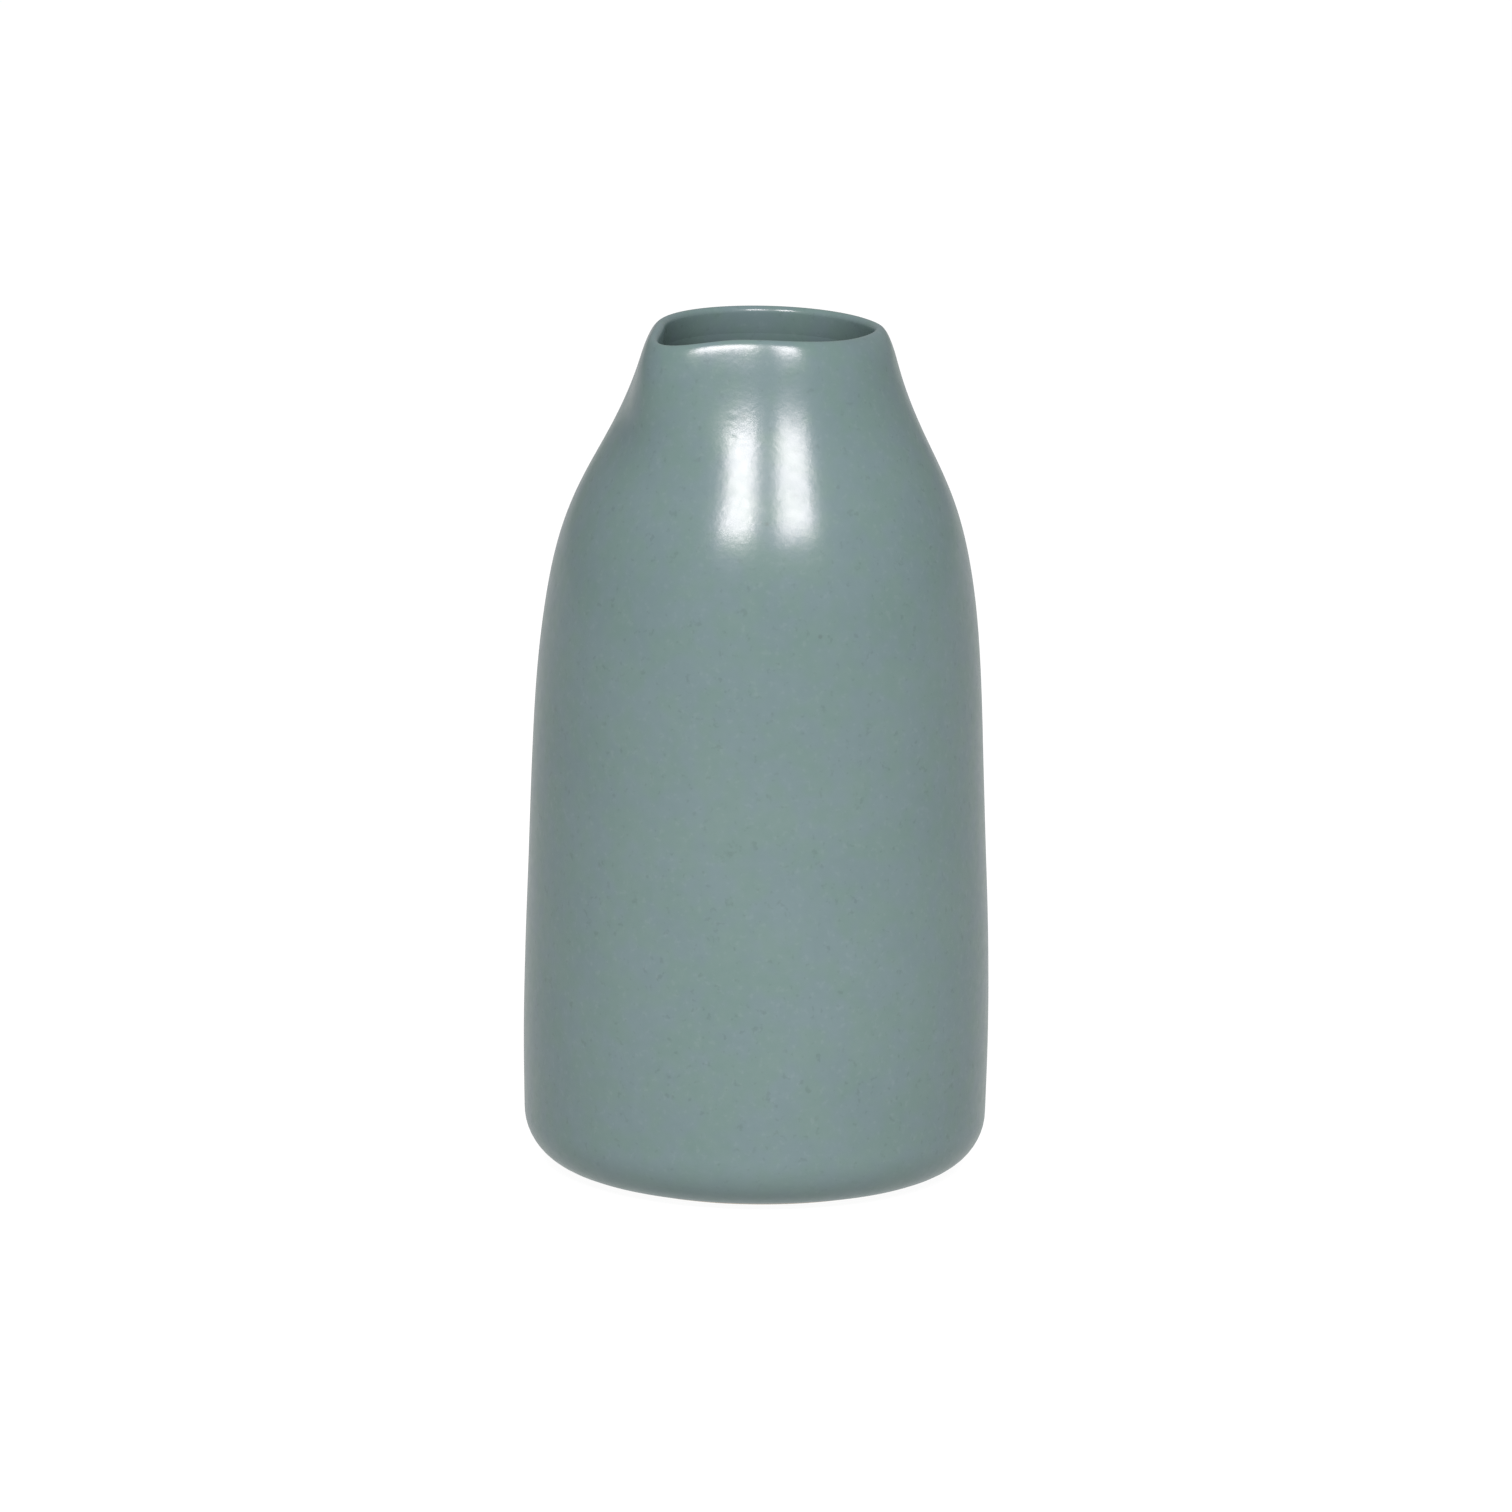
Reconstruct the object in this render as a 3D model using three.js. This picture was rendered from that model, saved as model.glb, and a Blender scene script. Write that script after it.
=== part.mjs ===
// A small hand-finished ceramic bud vase: a tapered body, a soft shoulder, a short neck and a pinched mouth.
// It is one fired clay body with a coat of glaze outside and over the lip, and a second coat lining the inside.
// Millimetres, +Z up. The origin is under the middle of the foot, on the surface that the vase stands on.
// The vase's front is towards -Y, and the pinched corner of its mouth points to the front left.
import * as THREE from "three";

// Foot
const FOOT_RADIUS = 28.8; // outside of the bare ring that the vase stands on
const FOOT_RING_WIDTH = 4;
const FOOT_EDGE = 0.3; // rounding of the ring's two edges
const FOOT_RECESS = 1.6; // how far the underside stands clear inside the ring
const BASE_RISE = 0.6; // height of the lowest glaze

// Outside of the vase: radius, height
const CORNER_RADIUS = 8.8; // round turn from the base into the wall
const WALL_BOTTOM = [38, BASE_RISE + CORNER_RADIUS];
const BELLY_HANDLES = [[38.4, 25.6], [38.6, 26.1]];
const WALL_MIDDLE = [36.8, 73.4];
const SHOULDER_HANDLES = [[35.1, 117.4], [27.6, 111.9]];
const NECK_TOP = [21.4, 134.6];
const CREST = [18.4, 140]; // top of the lip
const LIP_SHARE = 0.77; // how far the lip's lower handle reaches up towards the crest
const CREST_SHARE = 0.25; // how far the lip's upper handle reaches out towards the neck
const LIP_ROLL = [0.9, 1]; // inside of the lip: inward and downward

// Inside of the vase
const WALL_THICKNESS = 3.3; // measured level
const FLOOR_TOP = 5.6;
const FLOOR_CORNER = 9;

// Coats of glaze
const COAT = 0.4;
const BOND = 0.25; // clearance between a coat and the clay
const SEAM_GAP = 0.3; // between the outer coat's edge inside the neck and the liner

// Hand-made mouth: where each touch of the fingers is, in degrees from +X towards +Y, and how wide it is.
// Millimetres that it moves the whole mouth out, the lip alone out, and the mouth up.
const PINCH_START = 114.4; // height where the mouth starts to leave the round
const SPOUT = { direction: 221, spread: 15.8, out: 4.7, lipOut: 0, up: -1.45 };
const FOLD = { direction: 260, spread: 35, out: -1.2, lipOut: 0.6, up: 0.9 };
const FLAT = { direction: 332, spread: 20, out: 0, lipOut: -0.9, up: 0 };
const CORNER = { direction: 2, spread: 13, out: 0, lipOut: 0.35, up: 0.15 };
const LIP_POWER = 3.2; // how closely a touch of the lip alone keeps to its crest
const OVAL = { direction: 85, out: 0.62 };
const TILT = { direction: 168, up: 0.33 };

// The axis of the thrown wall isn't quite straight
const BOW = { bottom: 30, top: 120, across: -0.3 };
const NECK_LEAN = { bottom: 100, top: 140, across: 0.7 };

// Mesh steps
const AROUND = 40;
const CORNER_STEPS = 4;
const BELLY_STEPS = 5;
const SHOULDER_STEPS = 12;
const LIP_STEPS = 6;
const ROLL_STEPS = 4;
const FLOOR_STEPS = 4;

const QUARTER = Math.PI / 2;
const vector = ([radius, height]) => new THREE.Vector2(radius, height);

// 1 in the given direction, falling off smoothly to both sides
function towards(angle, { direction, spread }) {
  const turn = THREE.MathUtils.radToDeg(angle) - direction;
  const off = THREE.MathUtils.euclideanModulo(turn + 180, 360) - 180;
  return Math.exp(-0.5 * (off / spread) ** 2);
}

function bezier(start, handles, end, steps) {
  const curve = new THREE.CubicBezierCurve(vector(start), ...handles.map(vector), vector(end));
  return curve.getPoints(steps);
}

// A quarter of an ellipse about its centre, from one angle to the other
function quarterRound(centre, radii, from, to, steps) {
  const curve = new THREE.EllipseCurve(...centre, ...radii, from, to, to < from);
  return curve.getPoints(steps);
}

// The visible outside, from under the base up the wall and over the lip to the start of the inner wall
function outsideProfile() {
  const corner = quarterRound(
    [WALL_BOTTOM[0] - CORNER_RADIUS, WALL_BOTTOM[1]],
    [CORNER_RADIUS, CORNER_RADIUS],
    -QUARTER,
    0,
    CORNER_STEPS,
  );
  const belly = bezier(WALL_BOTTOM, BELLY_HANDLES, WALL_MIDDLE, BELLY_STEPS);
  const shoulder = bezier(WALL_MIDDLE, SHOULDER_HANDLES, NECK_TOP, SHOULDER_STEPS);
  const neckSlope = (SHOULDER_HANDLES[1][0] - NECK_TOP[0]) / (NECK_TOP[1] - SHOULDER_HANDLES[1][1]);
  const rise = LIP_SHARE * (CREST[1] - NECK_TOP[1]);
  const lipHandles = [
    [NECK_TOP[0] - neckSlope * rise, NECK_TOP[1] + rise],
    [CREST[0] + CREST_SHARE * (NECK_TOP[0] - CREST[0]), CREST[1]],
  ];
  const lip = bezier(NECK_TOP, lipHandles, CREST, LIP_STEPS);
  const roll = quarterRound([CREST[0], CREST[1] - LIP_ROLL[1]], LIP_ROLL, QUARTER, 2 * QUARTER, ROLL_STEPS);
  return [corner, belly.slice(1), shoulder.slice(1), lip.slice(1), roll.slice(1)].flat();
}

// The visible inside, from just under the lip down the wall to the middle of the floor
function insideProfile() {
  const floorRadius = WALL_BOTTOM[0] - WALL_THICKNESS - FLOOR_CORNER;
  const cornerHeight = FLOOR_TOP + FLOOR_CORNER;
  const shoulder = bezier(WALL_MIDDLE, SHOULDER_HANDLES, NECK_TOP, SHOULDER_STEPS);
  const belly = bezier(WALL_BOTTOM, BELLY_HANDLES, WALL_MIDDLE, BELLY_STEPS);
  const wall = [...belly, ...shoulder.slice(1)]
    .filter((point) => point.y > cornerHeight + 1)
    .map((point) => new THREE.Vector2(point.x - WALL_THICKNESS, point.y))
    .reverse();
  const corner = quarterRound([floorRadius, cornerHeight], [FLOOR_CORNER, FLOOR_CORNER], 0, -QUARTER, FLOOR_STEPS);
  return [...wall, ...corner, new THREE.Vector2(0, FLOOR_TOP)];
}

// The same profile moved sideways into the material, by the given distance
function movedIn(profile, distance) {
  return profile.map((point, i) => {
    const before = profile[Math.max(i - 1, 0)];
    const after = profile[Math.min(i + 1, profile.length - 1)];
    const along = after.clone().sub(before).normalize();
    const radius = point.x > 0 ? point.x - along.y * distance : 0;
    return new THREE.Vector2(radius, point.y + along.x * distance);
  });
}

// Leaves the round: pinches and folds the mouth, and gives the axis its slight bow
function shapeByHand(geometry) {
  const position = geometry.getAttribute("position");
  const point = new THREE.Vector3();
  const ovalDirection = THREE.MathUtils.degToRad(OVAL.direction);
  const tiltDirection = THREE.MathUtils.degToRad(TILT.direction);
  for (let i = 0; i < position.count; i += 1) {
    point.fromBufferAttribute(position, i);
    const radius = Math.hypot(point.x, point.y);
    const angle = Math.atan2(point.y, point.x);
    const mouth = THREE.MathUtils.smootherstep(point.z, PINCH_START, CREST[1]);
    const upTheLip = THREE.MathUtils.clamp((point.z - NECK_TOP[1]) / (CREST[1] - NECK_TOP[1]), 0, 1);
    const lip = upTheLip ** LIP_POWER;
    let out = OVAL.out * Math.cos(2 * (angle - ovalDirection)) * mouth;
    let up = TILT.up * Math.cos(angle - tiltDirection) * mouth;
    for (const touch of [SPOUT, FOLD, FLAT, CORNER]) {
      const strength = towards(angle, touch);
      out += strength * (touch.out * mouth + touch.lipOut * lip);
      up += strength * touch.up * mouth;
    }
    const stretch = radius > 0 ? (radius + out) / radius : 1;
    const bowed = THREE.MathUtils.clamp((point.z - BOW.bottom) / (BOW.top - BOW.bottom), 0, 1);
    const bow = BOW.across * Math.sin(Math.PI * bowed) ** 2;
    const lean = NECK_LEAN.across * THREE.MathUtils.smoothstep(point.z, NECK_LEAN.bottom, NECK_LEAN.top);
    position.setXYZ(i, point.x * stretch + bow + lean, point.y * stretch, point.z + up);
  }
  return geometry;
}

// Turns a profile about the vertical axis, then shapes it by hand
function thrown(name, profile, material) {
  const geometry = new THREE.LatheGeometry(profile, AROUND);
  geometry.rotateX(QUARTER);
  shapeByHand(geometry);
  geometry.computeVertexNormals();
  const mesh = new THREE.Mesh(geometry, material);
  mesh.name = name;
  return mesh;
}

function ceramic(color, roughness) {
  return new THREE.MeshStandardMaterial({ color, roughness, metalness: 0 });
}

// The bare underside: a shallow recess inside the ring that the vase stands on
function footProfile() {
  const inner = FOOT_RADIUS - FOOT_RING_WIDTH;
  return [
    [0, FOOT_RECESS],
    [inner - FOOT_EDGE, FOOT_RECESS],
    [inner, FOOT_EDGE],
    [inner + FOOT_EDGE, 0],
    [FOOT_RADIUS - FOOT_EDGE, 0],
    [FOOT_RADIUS, FOOT_EDGE],
    [FOOT_RADIUS, BASE_RISE + COAT + BOND],
  ].map(vector);
}

// One piece of fired clay: foot, floor, wall, neck and lip
function stonewareBody(outside, inside) {
  const profile = [...footProfile(), ...movedIn([...outside, ...inside], COAT + BOND)];
  return thrown("stoneware_body", profile, ceramic(0xb9ac99, 0.85));
}

// The coat outside, from just above the foot, over the lip and a little way down inside
function outerGlaze(outside, inside) {
  const skin = [...outside, ...inside];
  const count = outside.length + 1;
  const face = skin.slice(0, count);
  const back = movedIn(skin, COAT).slice(0, count).reverse();
  return thrown("outer_glaze", [...face, ...back, face[0]], ceramic(0x849a98, 0.3));
}

// The coat that lines the inside, from under the outer coat's edge to the middle of the floor
function linerGlaze(inside) {
  const start = inside[0].clone().lerp(inside[1], SEAM_GAP / (inside[0].y - inside[1].y));
  const face = [start, ...inside.slice(1)];
  const back = movedIn(face, COAT).reverse();
  return thrown("liner_glaze", [...back, ...face], ceramic(0x6f8583, 0.3));
}

const outside = outsideProfile();
const inside = insideProfile();
const budVase = new THREE.Group();
budVase.add(stonewareBody(outside, inside), outerGlaze(outside, inside), linerGlaze(inside));

export default budVase;
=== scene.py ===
"""A ceramic bud vase: its clay body, its two coats of glaze, a pale floor, soft lights and the camera.

Sizes are millimetres until a mesh is made, and a direction is degrees from +X towards +Y.
"""
import math

import bpy
import numpy as np
from mathutils import Matrix, Vector, noise


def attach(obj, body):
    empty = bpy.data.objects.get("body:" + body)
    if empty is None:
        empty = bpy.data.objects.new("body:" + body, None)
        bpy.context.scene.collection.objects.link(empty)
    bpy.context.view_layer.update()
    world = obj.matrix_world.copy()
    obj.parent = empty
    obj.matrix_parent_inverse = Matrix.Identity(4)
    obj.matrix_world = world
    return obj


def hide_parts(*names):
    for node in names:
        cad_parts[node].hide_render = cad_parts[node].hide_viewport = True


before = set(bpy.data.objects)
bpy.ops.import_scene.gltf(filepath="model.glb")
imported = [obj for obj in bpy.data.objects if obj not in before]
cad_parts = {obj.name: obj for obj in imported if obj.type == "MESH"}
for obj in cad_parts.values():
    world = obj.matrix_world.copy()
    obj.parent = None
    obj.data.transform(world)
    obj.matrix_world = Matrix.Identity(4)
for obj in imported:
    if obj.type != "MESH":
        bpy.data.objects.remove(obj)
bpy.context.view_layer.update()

MM = 0.001

# Foot
FOOT_RADIUS = 28.8
FOOT_RING_WIDTH = 4
FOOT_EDGE = 0.5  # rounding of the ring's two edges
FOOT_RECESS = 1.6
RECESS_TURN = 0.6  # height where the recess's side starts to turn into the ring
RECESS_GAP = 0.2  # between the end of that turn and the ring's inner edge
RECESS_END = 0.1  # angle in radians where the turn ends
BASE_RISE = 0.6
BASE_EDGE = 0.2  # bevel between the ring's outer wall and the base

# Outside of the vase: radius, height
CORNER_RADIUS = 8.8
WALL_BOTTOM = (38, BASE_RISE + CORNER_RADIUS)
BELLY_HANDLES = ((38.4, 25.6), (38.6, 26.1))
WALL_MIDDLE = (36.8, 73.4)
SHOULDER_HANDLES = ((35.1, 117.4), (27.6, 111.9))
NECK_TOP = (21.4, 134.6)
CREST = (18.4, 140)
LIP_SHARE = 0.77  # how far the lip's lower handle reaches up towards the crest
CREST_SHARE = 0.25  # how far the lip's upper handle reaches out towards the neck
LIP_ROLL = (0.9, 1)

# Inside of the vase
WALL_THICKNESS = 3.3
FLOOR_TOP = 5.6
FLOOR_CORNER = 9
WALL_END = 1  # how far above the floor's corner the wall's curve ends
THROAT_HANDLE = 1.3  # length of the two handles of the curve from the lip's roll to the wall
THROAT_LEAN = 0.35

# Coats of glaze
COAT = 0.4
BOND = 0.05
COAT_EDGE = 0.6  # rounding of a coat's edge at the foot
COAT_OVERLAP = 3  # over this length the two coats run out into each other inside the neck
LINER_START = 2  # points of the inside profile that only the outer coat covers

# Hand-made mouth: where each touch of the fingers is, how far out it moves the whole mouth and the lip
# alone, and how far up
PINCH_START = 114.4
SPOUT = dict(direction=221, spread=15.8, out=4.7, lip_out=0, up=-1.45)
FOLD = dict(direction=260, spread=35, out=-1.2, lip_out=0.6, up=0.9)
FLAT = dict(direction=332, spread=20, out=0, lip_out=-0.9, up=0)
CORNER = dict(direction=2, spread=13, out=0, lip_out=0.35, up=0.15)
LIP_POWER = 3.2  # how closely a touch of the lip alone keeps to its crest
OVAL = dict(direction=85, out=0.62)
TILT = dict(direction=168, up=0.33)
STILL_RADIUS = 1  # nearer the axis than this, nothing is moved out

# The axis of the thrown wall isn't quite straight, and the wall isn't quite even
BOW = dict(bottom=30, top=120, across=-0.3)
NECK_LEAN = dict(bottom=100, top=140, across=0.7)
UNEVEN = 0.05
UNEVEN_SIZE = 16

# Mesh steps
AROUND = 288
CORNER_STEPS = 14
BELLY_STEPS = 60
SHOULDER_STEPS = 72
LIP_STEPS = 22
ROLL_STEPS = 10
THROAT_STEPS = 8
FLOOR_STEPS = 16
UNDERSIDE_STEPS = 11
RECESS_STEPS = 8
EDGE_STEPS = 6

QUARTER = math.pi / 2


# ---------------------------------------------------------------- profiles

def bezier(start, handles, end, steps):
    t = np.linspace(0, 1, steps + 1)[:, None]
    a, b, c, d = (np.array(point, float) for point in (start, *handles, end))
    return (1 - t) ** 3 * a + 3 * (1 - t) ** 2 * t * b + 3 * (1 - t) * t ** 2 * c + t ** 3 * d


def quarter_round(centre, radii, start, end, steps):
    turn = np.linspace(start, end, steps + 1)
    return np.column_stack((centre[0] + radii[0] * np.cos(turn), centre[1] + radii[1] * np.sin(turn)))


def wall_curves():
    """The wall's two curves outside: the belly, and the shoulder up to the neck."""
    belly = bezier(WALL_BOTTOM, BELLY_HANDLES, WALL_MIDDLE, BELLY_STEPS)
    shoulder = bezier(WALL_MIDDLE, SHOULDER_HANDLES, NECK_TOP, SHOULDER_STEPS)
    return np.concatenate((belly, shoulder[1:]))


def outside_profile():
    """The visible outside, from under the base up the wall and over the lip."""
    corner_centre = (WALL_BOTTOM[0] - CORNER_RADIUS, WALL_BOTTOM[1])
    corner = quarter_round(corner_centre, (CORNER_RADIUS, CORNER_RADIUS), -QUARTER, 0, CORNER_STEPS)
    neck_slope = (SHOULDER_HANDLES[1][0] - NECK_TOP[0]) / (NECK_TOP[1] - SHOULDER_HANDLES[1][1])
    rise = LIP_SHARE * (CREST[1] - NECK_TOP[1])
    lip_handles = (
        (NECK_TOP[0] - neck_slope * rise, NECK_TOP[1] + rise),
        (CREST[0] + CREST_SHARE * (NECK_TOP[0] - CREST[0]), CREST[1]),
    )
    lip = bezier(NECK_TOP, lip_handles, CREST, LIP_STEPS)
    roll_centre = (CREST[0], CREST[1] - LIP_ROLL[1])
    roll = quarter_round(roll_centre, LIP_ROLL, QUARTER, 2 * QUARTER, ROLL_STEPS)
    return np.concatenate((corner, wall_curves()[1:], lip[1:], roll[1:]))


def inside_profile():
    """The visible inside, from just under the lip down the wall to the middle of the floor."""
    floor_radius = WALL_BOTTOM[0] - WALL_THICKNESS - FLOOR_CORNER
    corner_height = FLOOR_TOP + FLOOR_CORNER
    wall = wall_curves()
    wall = wall[wall[:, 1] > corner_height + WALL_END][::-1] - (WALL_THICKNESS, 0)
    top = wall[0]
    roll_end = np.array((CREST[0] - LIP_ROLL[0], CREST[1] - LIP_ROLL[1]))
    throat_handles = (roll_end - (0, THROAT_HANDLE), top + (-THROAT_LEAN, THROAT_HANDLE))
    throat = bezier(roll_end, throat_handles, top, THROAT_STEPS)[1:-1]
    corner_centre = (floor_radius, corner_height)
    corner = quarter_round(corner_centre, (FLOOR_CORNER, FLOOR_CORNER), 0, -QUARTER, FLOOR_STEPS)
    across = np.linspace(floor_radius, 0, FLOOR_STEPS)[1:]
    floor = np.column_stack((across, np.full(len(across), FLOOR_TOP)))
    return np.concatenate((throat, wall, corner, floor))


def moved_in(profile, distance):
    """The same profile moved sideways into the material."""
    along = np.gradient(profile, axis=0)
    along /= np.linalg.norm(along, axis=1)[:, None]
    moved = profile + np.column_stack((-along[:, 1], along[:, 0])) * distance
    moved[profile[:, 0] == 0, 0] = 0
    return moved


def length_along(profile):
    steps = np.linalg.norm(np.diff(profile, axis=0), axis=1)
    return np.concatenate(([0], np.cumsum(steps)))


def rounded_edge(distance, width):
    """How much of the coat is there at this distance from its edge: 0 at the edge, 1 past the width."""
    left = 1 - np.clip(distance / width, 0, 1)
    return np.sqrt(1 - left ** 2)


# ---------------------------------------------------------------- hand shaping

def smoothstep(value, low, high):
    t = np.clip((value - low) / (high - low), 0, 1)
    return t * t * (3 - 2 * t)


def smootherstep(value, low, high):
    t = np.clip((value - low) / (high - low), 0, 1)
    return t ** 3 * (t * (6 * t - 15) + 10)


def towards(angle, direction, spread):
    """1 in the given direction, falling off smoothly to both sides."""
    off = (np.degrees(angle) - direction + 180) % 360 - 180
    return np.exp(-0.5 * (off / spread) ** 2)


def shaped_by_hand(points):
    """Pinches and folds the mouth, and gives the wall its slight bow and unevenness."""
    x, y, z = points.T
    radius = np.hypot(x, y)
    angle = np.arctan2(y, x)
    mouth = smootherstep(z, PINCH_START, CREST[1])
    lip = np.clip((z - NECK_TOP[1]) / (CREST[1] - NECK_TOP[1]), 0, 1) ** LIP_POWER
    out = OVAL["out"] * np.cos(2 * (angle - math.radians(OVAL["direction"]))) * mouth
    up = TILT["up"] * np.cos(angle - math.radians(TILT["direction"])) * mouth
    for touch in (SPOUT, FOLD, FLAT, CORNER):
        strength = towards(angle, touch["direction"], touch["spread"])
        out += strength * (touch["out"] * mouth + touch["lip_out"] * lip)
        up += strength * touch["up"] * mouth
    out += [UNEVEN * noise.noise(Vector(point) / UNEVEN_SIZE) for point in points]
    stretch = 1 + np.where(radius < STILL_RADIUS, 0, out) / np.maximum(radius, STILL_RADIUS)
    bowed = np.clip((z - BOW["bottom"]) / (BOW["top"] - BOW["bottom"]), 0, 1)
    aside = BOW["across"] * np.sin(math.pi * bowed) ** 2
    aside += NECK_LEAN["across"] * smoothstep(z, NECK_LEAN["bottom"], NECK_LEAN["top"])
    return np.column_stack((x * stretch + aside, y * stretch, z + up))


# ---------------------------------------------------------------- meshes

def thrown(name, profile, closed):
    """Turns a profile about the vertical axis and shapes it by hand. A closed profile is a ring's section,
    and one that isn't closed starts and ends on the axis."""
    turn = np.linspace(0, 2 * math.pi, AROUND, endpoint=False)
    rings = []
    points = []
    for radius, height in profile:
        count = len(points)
        if radius == 0:
            points.append((0, 0, height))
            rings.append([count] * AROUND)
        else:
            points.extend(zip(radius * np.cos(turn), radius * np.sin(turn), np.full(AROUND, height)))
            rings.append(list(range(count, count + AROUND)))
    if closed:
        rings.append(rings[0])
    faces = []
    for low, high in zip(rings, rings[1:]):
        for i in range(AROUND):
            j = (i + 1) % AROUND
            corners = dict.fromkeys((low[i], low[j], high[j], high[i]))
            faces.append(tuple(corners))
    points = shaped_by_hand(np.array(points, float)) * MM
    mesh = bpy.data.meshes.new(name)
    mesh.from_pydata(points.tolist(), [], faces)
    mesh.shade_smooth()
    mesh.validate()
    piece = bpy.data.objects.new(name, mesh)
    bpy.context.scene.collection.objects.link(piece)
    return piece


def foot_profile():
    """The bare underside: a shallow recess inside the ring that the vase stands on."""
    inner = FOOT_RADIUS - FOOT_RING_WIDTH
    top = BASE_RISE + COAT + BOND
    edge = (FOOT_EDGE, FOOT_EDGE)
    across = np.linspace(0, inner - FOOT_RECESS, UNDERSIDE_STEPS + 1)
    underside = np.column_stack((across, np.full(len(across), FOOT_RECESS)))
    slope_radii = (FOOT_RECESS - RECESS_GAP, FOOT_RECESS - RECESS_TURN)
    slope = quarter_round((across[-1], RECESS_TURN), slope_radii, QUARTER, RECESS_END, RECESS_STEPS)
    inner_edge = quarter_round((inner + FOOT_EDGE, FOOT_EDGE), edge, 2 * QUARTER, 3 * QUARTER, EDGE_STEPS)
    outer_edge = quarter_round((FOOT_RADIUS - FOOT_EDGE, FOOT_EDGE), edge, -QUARTER, 0, EDGE_STEPS)
    wall = np.array(((FOOT_RADIUS, top - BASE_EDGE), (FOOT_RADIUS + BASE_EDGE, top)))
    return np.concatenate((underside, slope[1:], inner_edge, outer_edge, wall))


def clay_body(outside, inside):
    """One piece of fired clay: foot, floor, wall, neck and lip."""
    walls = moved_in(np.concatenate((outside, inside)), COAT + BOND)
    return thrown("clay_body", np.concatenate((foot_profile(), walls)), closed=False)


def outer_coat(outside, inside):
    """The glaze outside, from just above the foot, over the lip and a little way down inside."""
    face = np.concatenate((outside, inside))
    depth = length_along(face) - length_along(outside)[-1]
    face = face[depth < COAT_OVERLAP * 2]
    distance = length_along(face)
    back = moved_in(face, COAT)
    there = rounded_edge(distance, COAT_EDGE) * rounded_edge(distance[-1] - distance, COAT_OVERLAP)
    front = back + (face - back) * there[:, None]
    return thrown("outer_glaze_coat", np.concatenate((front, back[-2:0:-1])), closed=True)


def liner_coat(inside):
    """The glaze that lines the inside, from under the outer coat's edge to the middle of the floor."""
    face = inside[LINER_START:]
    back = moved_in(face, COAT)
    there = rounded_edge(length_along(face), COAT_OVERLAP)
    front = back + (face - back) * there[:, None]
    return thrown("liner_glaze_coat", np.concatenate((back[::-1], front[1:])), closed=False)


# ---------------------------------------------------------------- materials

def rgba(red, green, blue):
    return (red, green, blue, 1.0)


WHITE = rgba(1, 1, 1)

# Glaze colours. The deep and the pale one each vary between a greener and a bluer tone.
GLAZE_DEEP = (rgba(0.076, 0.12, 0.111), rgba(0.079, 0.117, 0.12))
GLAZE_PALE = (rgba(0.084, 0.127, 0.119), rgba(0.086, 0.125, 0.129))
GLAZE_LIGHT_FLECK = rgba(0.17, 0.21, 0.21)
GLAZE_DARK_FLECK = rgba(0.035, 0.052, 0.05)
GLAZE_IRON = rgba(0.035, 0.04, 0.037)
# Painted shade: the darker colour the glaze is blended towards near the top of the vase
GLAZE_PAINTED_SHADE = rgba(0.03, 0.05, 0.05)
# Painted light from the floor: the paler colour the glaze is blended towards at the bottom edge
GLAZE_PAINTED_FLOOR_LIGHT = rgba(0.12, 0.172, 0.166)

# Painted shade, darker towards the top, and painted light from the floor, paler at the bottom: metres up
# the vase where each starts and is strongest, and how strong it is there
PAINTED_SHADE_BETWEEN = (0.02, 0.13)
PAINTED_SHADE_MOST = 0.19
PAINTED_FLOOR_LIGHT_BETWEEN = (0.011, 0.001)
PAINTED_FLOOR_LIGHT_MOST = 0.5

# Glaze textures. A noise has a size. Spots have a spacing, a radius and the share of places that has one.
HUE_NOISE = dict(size=5)
CLOUD_NOISE = dict(size=16, detail=3, roughness=0.55)
BLOTCH_NOISE = dict(size=2.2, detail=3, roughness=0.6)
LIGHT_FLECK_NOISE = dict(size=1.1, roughness=0.6)
DARK_FLECK_NOISE = dict(size=1.35, roughness=0.6)
IRON_SPOTS = dict(spacing=9, radius=0.55, share=0.4)

# How much of each mark's colour shows
LIGHT_FLECK_STRENGTH = 0.08
DARK_FLECK_STRENGTH = 0.2
IRON_SPOT_STRENGTH = 0.3

# Glaze skin: textures, and their heights in millimetres
PEEL_NOISE = dict(size=0.8, detail=1)
PEEL_HEIGHT = 0.011
WAVE_NOISE = dict(size=4, detail=1)
WAVE_HEIGHT = 0.010
NODULE_SPOTS = dict(spacing=6, radius=1.3, share=0.4)
NODULE_HEIGHT = 0.016
PIT_SPOTS = dict(spacing=7, radius=0.9, share=0.4)
PIT_HEIGHT = -0.014

# Gloss over the colour: how rough it is, and how much of it there is
GLOSS_NOISE = dict(size=1.6)
GLOSS_ROUGHNESS = 0.22
GLOSS_AMOUNT = (0.56, 0.48)
BASE_ROUGHNESS = 0.6

# Fired clay with no glaze
CLAY_DARK = rgba(0.43, 0.36, 0.28)
CLAY_PALE = rgba(0.53, 0.46, 0.37)
CLAY_SAND = rgba(0.66, 0.6, 0.5)
CLAY_IRON = rgba(0.16, 0.1, 0.06)
CLAY_NOISE = dict(size=9, detail=4, roughness=0.6)
SAND_SPOTS = dict(spacing=0.7, radius=0.3, share=0.4)
SAND_STRENGTH = 0.4
SAND_HEIGHT = 0.03
CLAY_IRON_SPOTS = dict(spacing=1.8, radius=0.4, share=0.2)
CLAY_IRON_STRENGTH = 0.6
GRAIN_NOISE = dict(size=0.45, detail=3, roughness=0.65)
GRAIN_HEIGHT = 0.12
CLAY_ROUGHNESS_NOISE = dict(size=0.8)
CLAY_ROUGHNESS = (0.78, 0.95)

# Ranges of a noise's values
MIDDLE = (0.3, 0.7)  # where most of them are
HUE_RANGE = (0.35, 0.65)
LIGHT_FLECK_RANGE = (0.58, 0.72)
DARK_FLECK_RANGE = (0.60, 0.74)

SPOT_CORE = 0.3  # share of a spot's radius that is full strength


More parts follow.
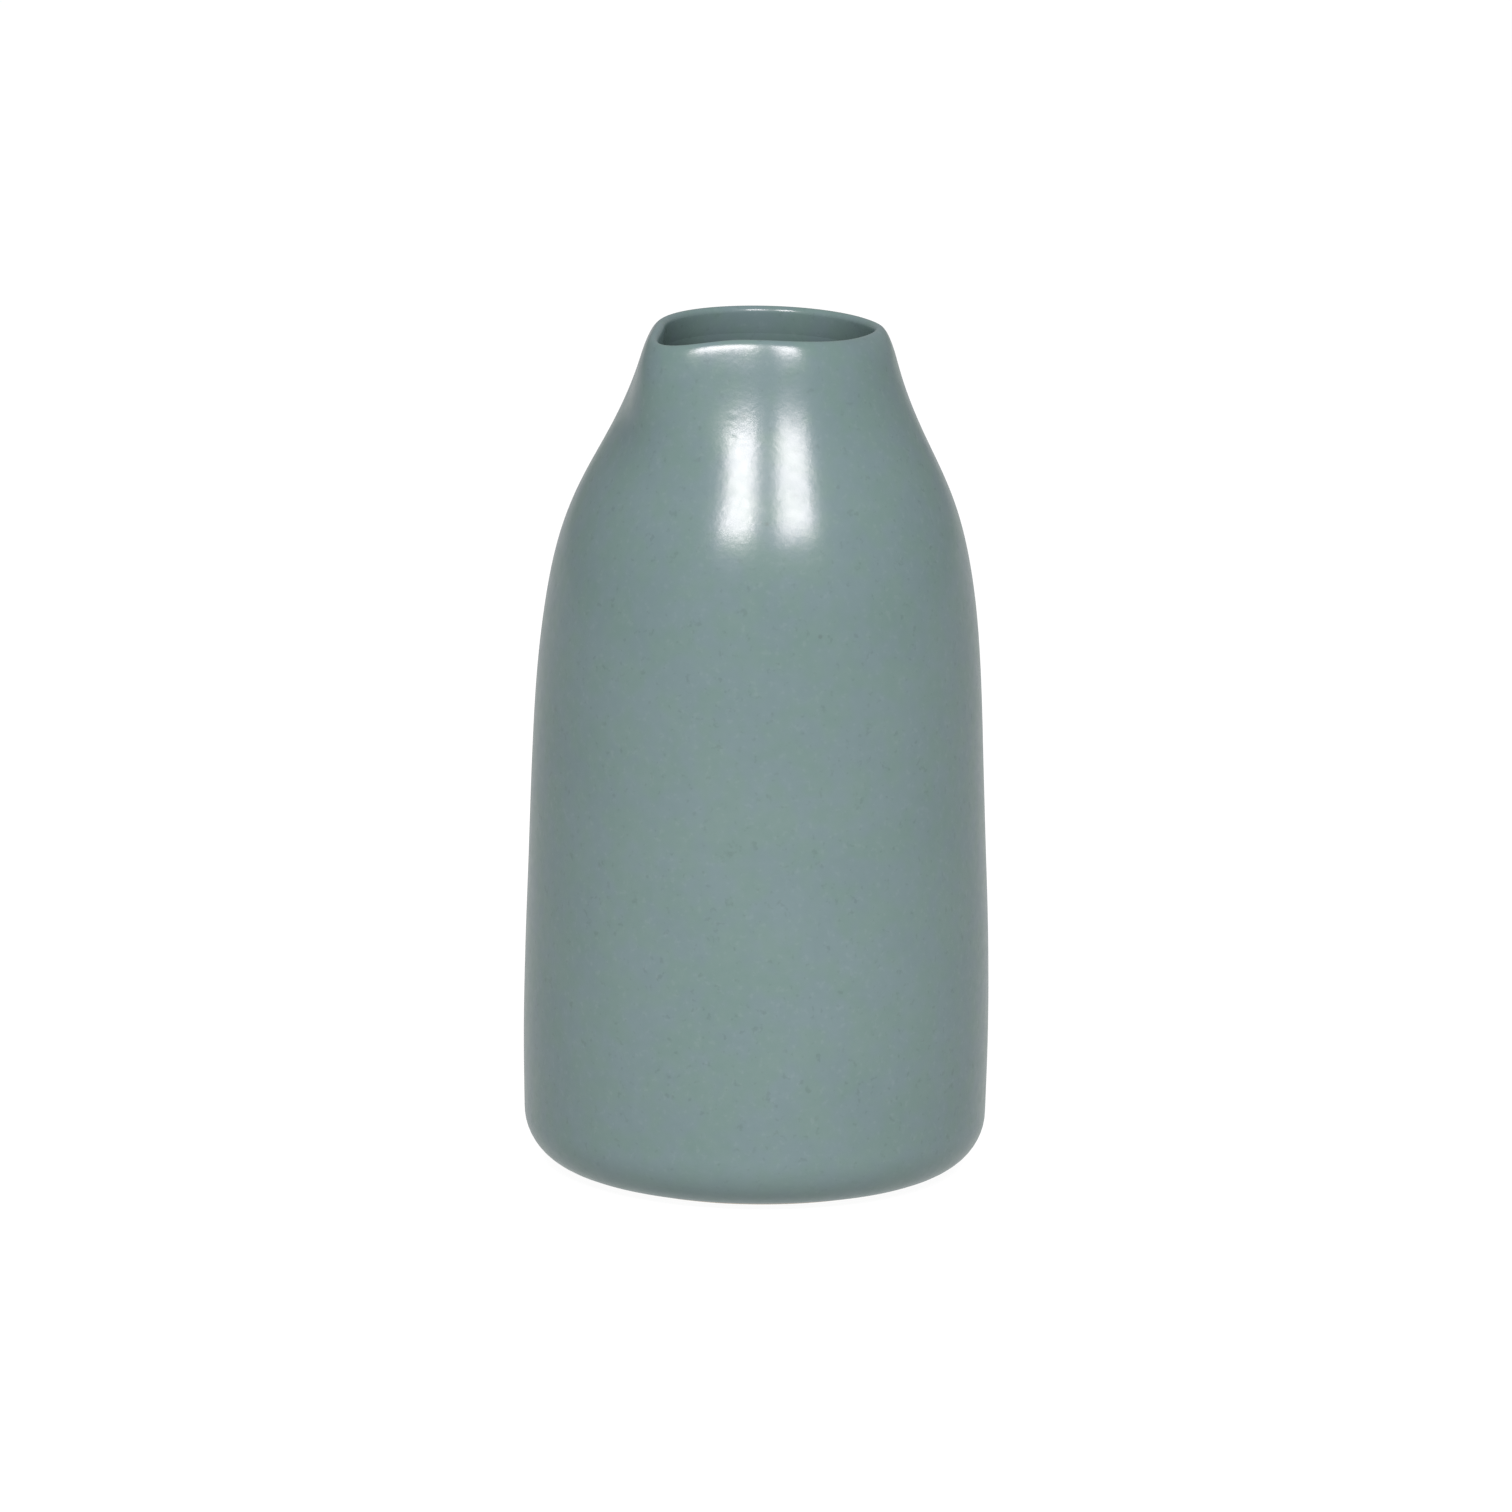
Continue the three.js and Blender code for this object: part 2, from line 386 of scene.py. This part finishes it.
class Nodes:
    """Adds nodes to a new material and links them. Texture sizes are millimetres."""

    def __init__(self, name):
        self.material = bpy.data.materials.new(name)
        self.material.use_nodes = True
        self.tree = self.material.node_tree
        self.shader = self.tree.nodes["Principled BSDF"]
        self.place = self.add("ShaderNodeTexCoord").outputs["Object"]

    def set(self, socket, value):
        if isinstance(value, bpy.types.NodeSocket):
            self.tree.links.new(value, socket)
        else:
            socket.default_value = value

    def shade(self, **inputs):
        """Sets the shader's inputs, each named in lower case with underscores."""
        sockets = {socket.name.lower().replace(" ", "_"): socket for socket in self.shader.inputs}
        for name, value in inputs.items():
            self.set(sockets[name], value)

    def add(self, kind, inputs=(), **settings):
        node = self.tree.nodes.new(kind)
        for name, value in settings.items():
            setattr(node, name, value)
        for key, value in dict(inputs).items():
            self.set(node.inputs[key], value)
        return node

    def math(self, operation, a, b):
        return self.add("ShaderNodeMath", {0: a, 1: b}, operation=operation).outputs[0]

    def total(self, first, *others):
        for other in others:
            first = self.math("ADD", first, other)
        return first

    def scaled(self, value, amount):
        return self.math("MULTIPLY", value, amount)

    def noise(self, size, detail=2.0, roughness=0.5):
        inputs = {"Vector": self.place, "Scale": 1 / (size * MM), "Detail": detail, "Roughness": roughness}
        return self.add("ShaderNodeTexNoise", inputs).outputs[0]

    def height(self):
        return self.add("ShaderNodeSeparateXYZ", {0: self.place}).outputs["Z"]

    def spread(self, value, between, to=(0.0, 1.0)):
        """Turns a value between these two into one between the other two, with smooth ends."""
        inputs = {0: value, 1: between[0], 2: between[1], 3: to[0], 4: to[1]}
        return self.add("ShaderNodeMapRange", inputs, interpolation_type="SMOOTHSTEP").outputs[0]

    def blend(self, factor, a, b):
        node = self.add("ShaderNodeMix", {0: factor, 6: a, 7: b}, data_type="RGBA")
        return node.outputs[2]

    def spots(self, spacing, radius, share):
        """Round spots in this share of cells, which are this far apart: 1 inside a spot, 0 outside."""
        inputs = {"Vector": self.place, "Scale": 1 / (spacing * MM)}
        cells = self.add("ShaderNodeTexVoronoi", inputs)
        core = SPOT_CORE * radius
        inside = self.spread(cells.outputs["Distance"], (radius / spacing, core / spacing))
        pick = self.add("ShaderNodeSeparateColor", {0: cells.outputs["Color"]}).outputs[0]
        chosen = self.math("LESS_THAN", pick, share)
        return self.math("MULTIPLY", inside, chosen)

    def bumped(self, height):
        inputs = {"Height": height, "Strength": 1.0, "Distance": MM}
        return self.add("ShaderNodeBump", inputs).outputs[0]


def glaze_color(nodes):
    """Soft clouds and blotches of tone, flecks and iron spots; painted shade near the top, painted light
    near the foot.
    """
    hue = nodes.spread(nodes.noise(**HUE_NOISE), HUE_RANGE)
    cloud = nodes.spread(nodes.noise(**CLOUD_NOISE), MIDDLE)
    blotch = nodes.spread(nodes.noise(**BLOTCH_NOISE), MIDDLE)
    mottle = nodes.total(nodes.scaled(cloud, 0.5), nodes.scaled(blotch, 0.5))
    color = nodes.blend(mottle, nodes.blend(hue, *GLAZE_DEEP), nodes.blend(hue, *GLAZE_PALE))
    light_flecks = nodes.spread(nodes.noise(**LIGHT_FLECK_NOISE), LIGHT_FLECK_RANGE)
    dark_flecks = nodes.spread(nodes.noise(**DARK_FLECK_NOISE), DARK_FLECK_RANGE)
    iron_spots = nodes.spots(**IRON_SPOTS)
    color = nodes.blend(nodes.scaled(light_flecks, LIGHT_FLECK_STRENGTH), color, GLAZE_LIGHT_FLECK)
    color = nodes.blend(nodes.scaled(dark_flecks, DARK_FLECK_STRENGTH), color, GLAZE_DARK_FLECK)
    color = nodes.blend(nodes.scaled(iron_spots, IRON_SPOT_STRENGTH), color, GLAZE_IRON)
    # Painted shade: the glaze grows darker towards the top
    painted_shade = nodes.spread(nodes.height(), PAINTED_SHADE_BETWEEN, (0.0, PAINTED_SHADE_MOST))
    # Painted light from the floor: the glaze grows paler towards the bottom
    painted_floor_light = nodes.spread(nodes.height(), PAINTED_FLOOR_LIGHT_BETWEEN, (0.0, PAINTED_FLOOR_LIGHT_MOST))
    color = nodes.blend(painted_shade, color, GLAZE_PAINTED_SHADE)
    return nodes.blend(painted_floor_light, color, GLAZE_PAINTED_FLOOR_LIGHT)


def glaze_skin(nodes):
    """The height of the glaze: orange peel, longer waves, nodules and pits."""
    peel = nodes.scaled(nodes.noise(**PEEL_NOISE), PEEL_HEIGHT)
    wave = nodes.scaled(nodes.noise(**WAVE_NOISE), WAVE_HEIGHT)
    nodules = nodes.scaled(nodes.spots(**NODULE_SPOTS), NODULE_HEIGHT)
    pits = nodes.scaled(nodes.spots(**PIT_SPOTS), PIT_HEIGHT)
    return nodes.total(peel, wave, nodules, pits)


def glaze(name):
    """Satin teal-grey glaze: a matte colour under a thin gloss."""
    nodes = Nodes(name)
    normal = nodes.bumped(glaze_skin(nodes))
    nodes.shade(
        base_color=glaze_color(nodes),
        roughness=BASE_ROUGHNESS,
        specular_ior_level=0.0,
        normal=normal,
        coat_weight=nodes.spread(nodes.noise(**GLOSS_NOISE), MIDDLE, GLOSS_AMOUNT),
        coat_roughness=GLOSS_ROUGHNESS,
        coat_normal=normal,
    )
    return nodes.material


def bare_clay():
    """Fired stoneware with no glaze: matte buff, with sand and iron grains in it."""
    nodes = Nodes("bare_stoneware")
    cloud = nodes.spread(nodes.noise(**CLAY_NOISE), MIDDLE)
    sand = nodes.spots(**SAND_SPOTS)
    iron = nodes.spots(**CLAY_IRON_SPOTS)
    color = nodes.blend(cloud, CLAY_DARK, CLAY_PALE)
    color = nodes.blend(nodes.scaled(sand, SAND_STRENGTH), color, CLAY_SAND)
    color = nodes.blend(nodes.scaled(iron, CLAY_IRON_STRENGTH), color, CLAY_IRON)
    grain = nodes.scaled(nodes.noise(**GRAIN_NOISE), GRAIN_HEIGHT)
    nodes.shade(
        base_color=color,
        roughness=nodes.spread(nodes.noise(**CLAY_ROUGHNESS_NOISE), MIDDLE, CLAY_ROUGHNESS),
        normal=nodes.bumped(nodes.total(grain, nodes.scaled(sand, SAND_HEIGHT))),
    )
    return nodes.material


def floor_white():
    """A white sweep that glows, so that shadows on it stay faint."""
    nodes = Nodes("floor_white")
    nodes.shade(
        base_color=rgba(0.08, 0.08, 0.08),
        roughness=0.9,
        specular_ior_level=0.0,
        emission_color=WHITE,
        emission_strength=0.95,
    )
    return nodes.material


# ---------------------------------------------------------------- stage, in metres

CAMERA_DISTANCE = 1.71
CAMERA_ELEVATION = 12.1
CAMERA_ROLL = 0.79  # the picture leans a little to the right
CAMERA_LENS = 248.4
CAMERA_SENSOR = 36
CAMERA_REACH = 20
AIM = Vector((-0.0006, 0, 0.0685))

LIT_POINT = Vector((0, 0, 0.1))  # what the softboxes face
SOFTBOX_DISTANCE = 1.6
SOFTBOX_ELEVATION = 38.8
SOFTBOX_HEIGHT = 0.44
SOFTBOX_COLOR = (1, 0.93, 0.95)
WORLD_STRENGTH = 0.52
FLOOR_REACH = 5


def seen_from(azimuth, elevation):
    """The direction towards a place at this azimuth, 0 being the front and 90 the right, and elevation."""
    a, e = math.radians(azimuth), math.radians(elevation)
    return Vector((math.sin(a) * math.cos(e), -math.cos(a) * math.cos(e), math.sin(e)))


def camera():
    data = bpy.data.cameras.new("camera")
    data.lens = CAMERA_LENS
    data.sensor_width = CAMERA_SENSOR
    data.clip_end = CAMERA_REACH
    eye = bpy.data.objects.new("camera", data)
    bpy.context.scene.collection.objects.link(eye)
    back = seen_from(0, CAMERA_ELEVATION)
    eye.location = AIM + back * CAMERA_DISTANCE
    turn = back.to_track_quat("Z", "Y").to_matrix() @ Matrix.Rotation(math.radians(CAMERA_ROLL), 3, "Z")
    eye.rotation_euler = turn.to_euler()
    bpy.context.scene.camera = eye


def softbox(name, azimuth, width, power):
    data = bpy.data.lights.new(name, "AREA")
    data.shape = "RECTANGLE"
    data.size = width
    data.size_y = SOFTBOX_HEIGHT
    data.energy = power
    data.color = SOFTBOX_COLOR
    lamp = bpy.data.objects.new(name, data)
    bpy.context.scene.collection.objects.link(lamp)
    direction = seen_from(azimuth, SOFTBOX_ELEVATION)
    lamp.location = LIT_POINT + direction * SOFTBOX_DISTANCE
    lamp.rotation_euler = direction.to_track_quat("Z", "Y").to_euler()


def white_floor():
    corners = [(x * FLOOR_REACH, y * FLOOR_REACH, 0) for x, y in ((-1, -1), (1, -1), (1, 1), (-1, 1))]
    mesh = bpy.data.meshes.new("floor")
    mesh.from_pydata(corners, [], [(0, 1, 2, 3)])
    mesh.materials.append(floor_white())
    floor = bpy.data.objects.new("floor", mesh)
    bpy.context.scene.collection.objects.link(floor)


def studio():
    world = bpy.data.worlds.new("studio")
    world.use_nodes = True
    background = world.node_tree.nodes["Background"]
    background.inputs["Color"].default_value = WHITE
    background.inputs["Strength"].default_value = WORLD_STRENGTH
    bpy.context.scene.world = world
    bpy.context.scene.view_settings.view_transform = "Standard"
    softbox("strip_left", azimuth=-18, width=0.46, power=32)
    softbox("strip_right", azimuth=21.5, width=0.54, power=32)
    white_floor()


# ---------------------------------------------------------------- the vase

def place(piece, node, material):
    piece.data.materials.append(material)
    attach(piece, "root")
    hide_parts(node)


camera()
studio()
outside = outside_profile()
inside = inside_profile()
place(clay_body(outside, inside), "stoneware_body", bare_clay())
place(outer_coat(outside, inside), "outer_glaze", glaze("outer_glaze"))
place(liner_coat(inside), "liner_glaze", glaze("liner_glaze"))
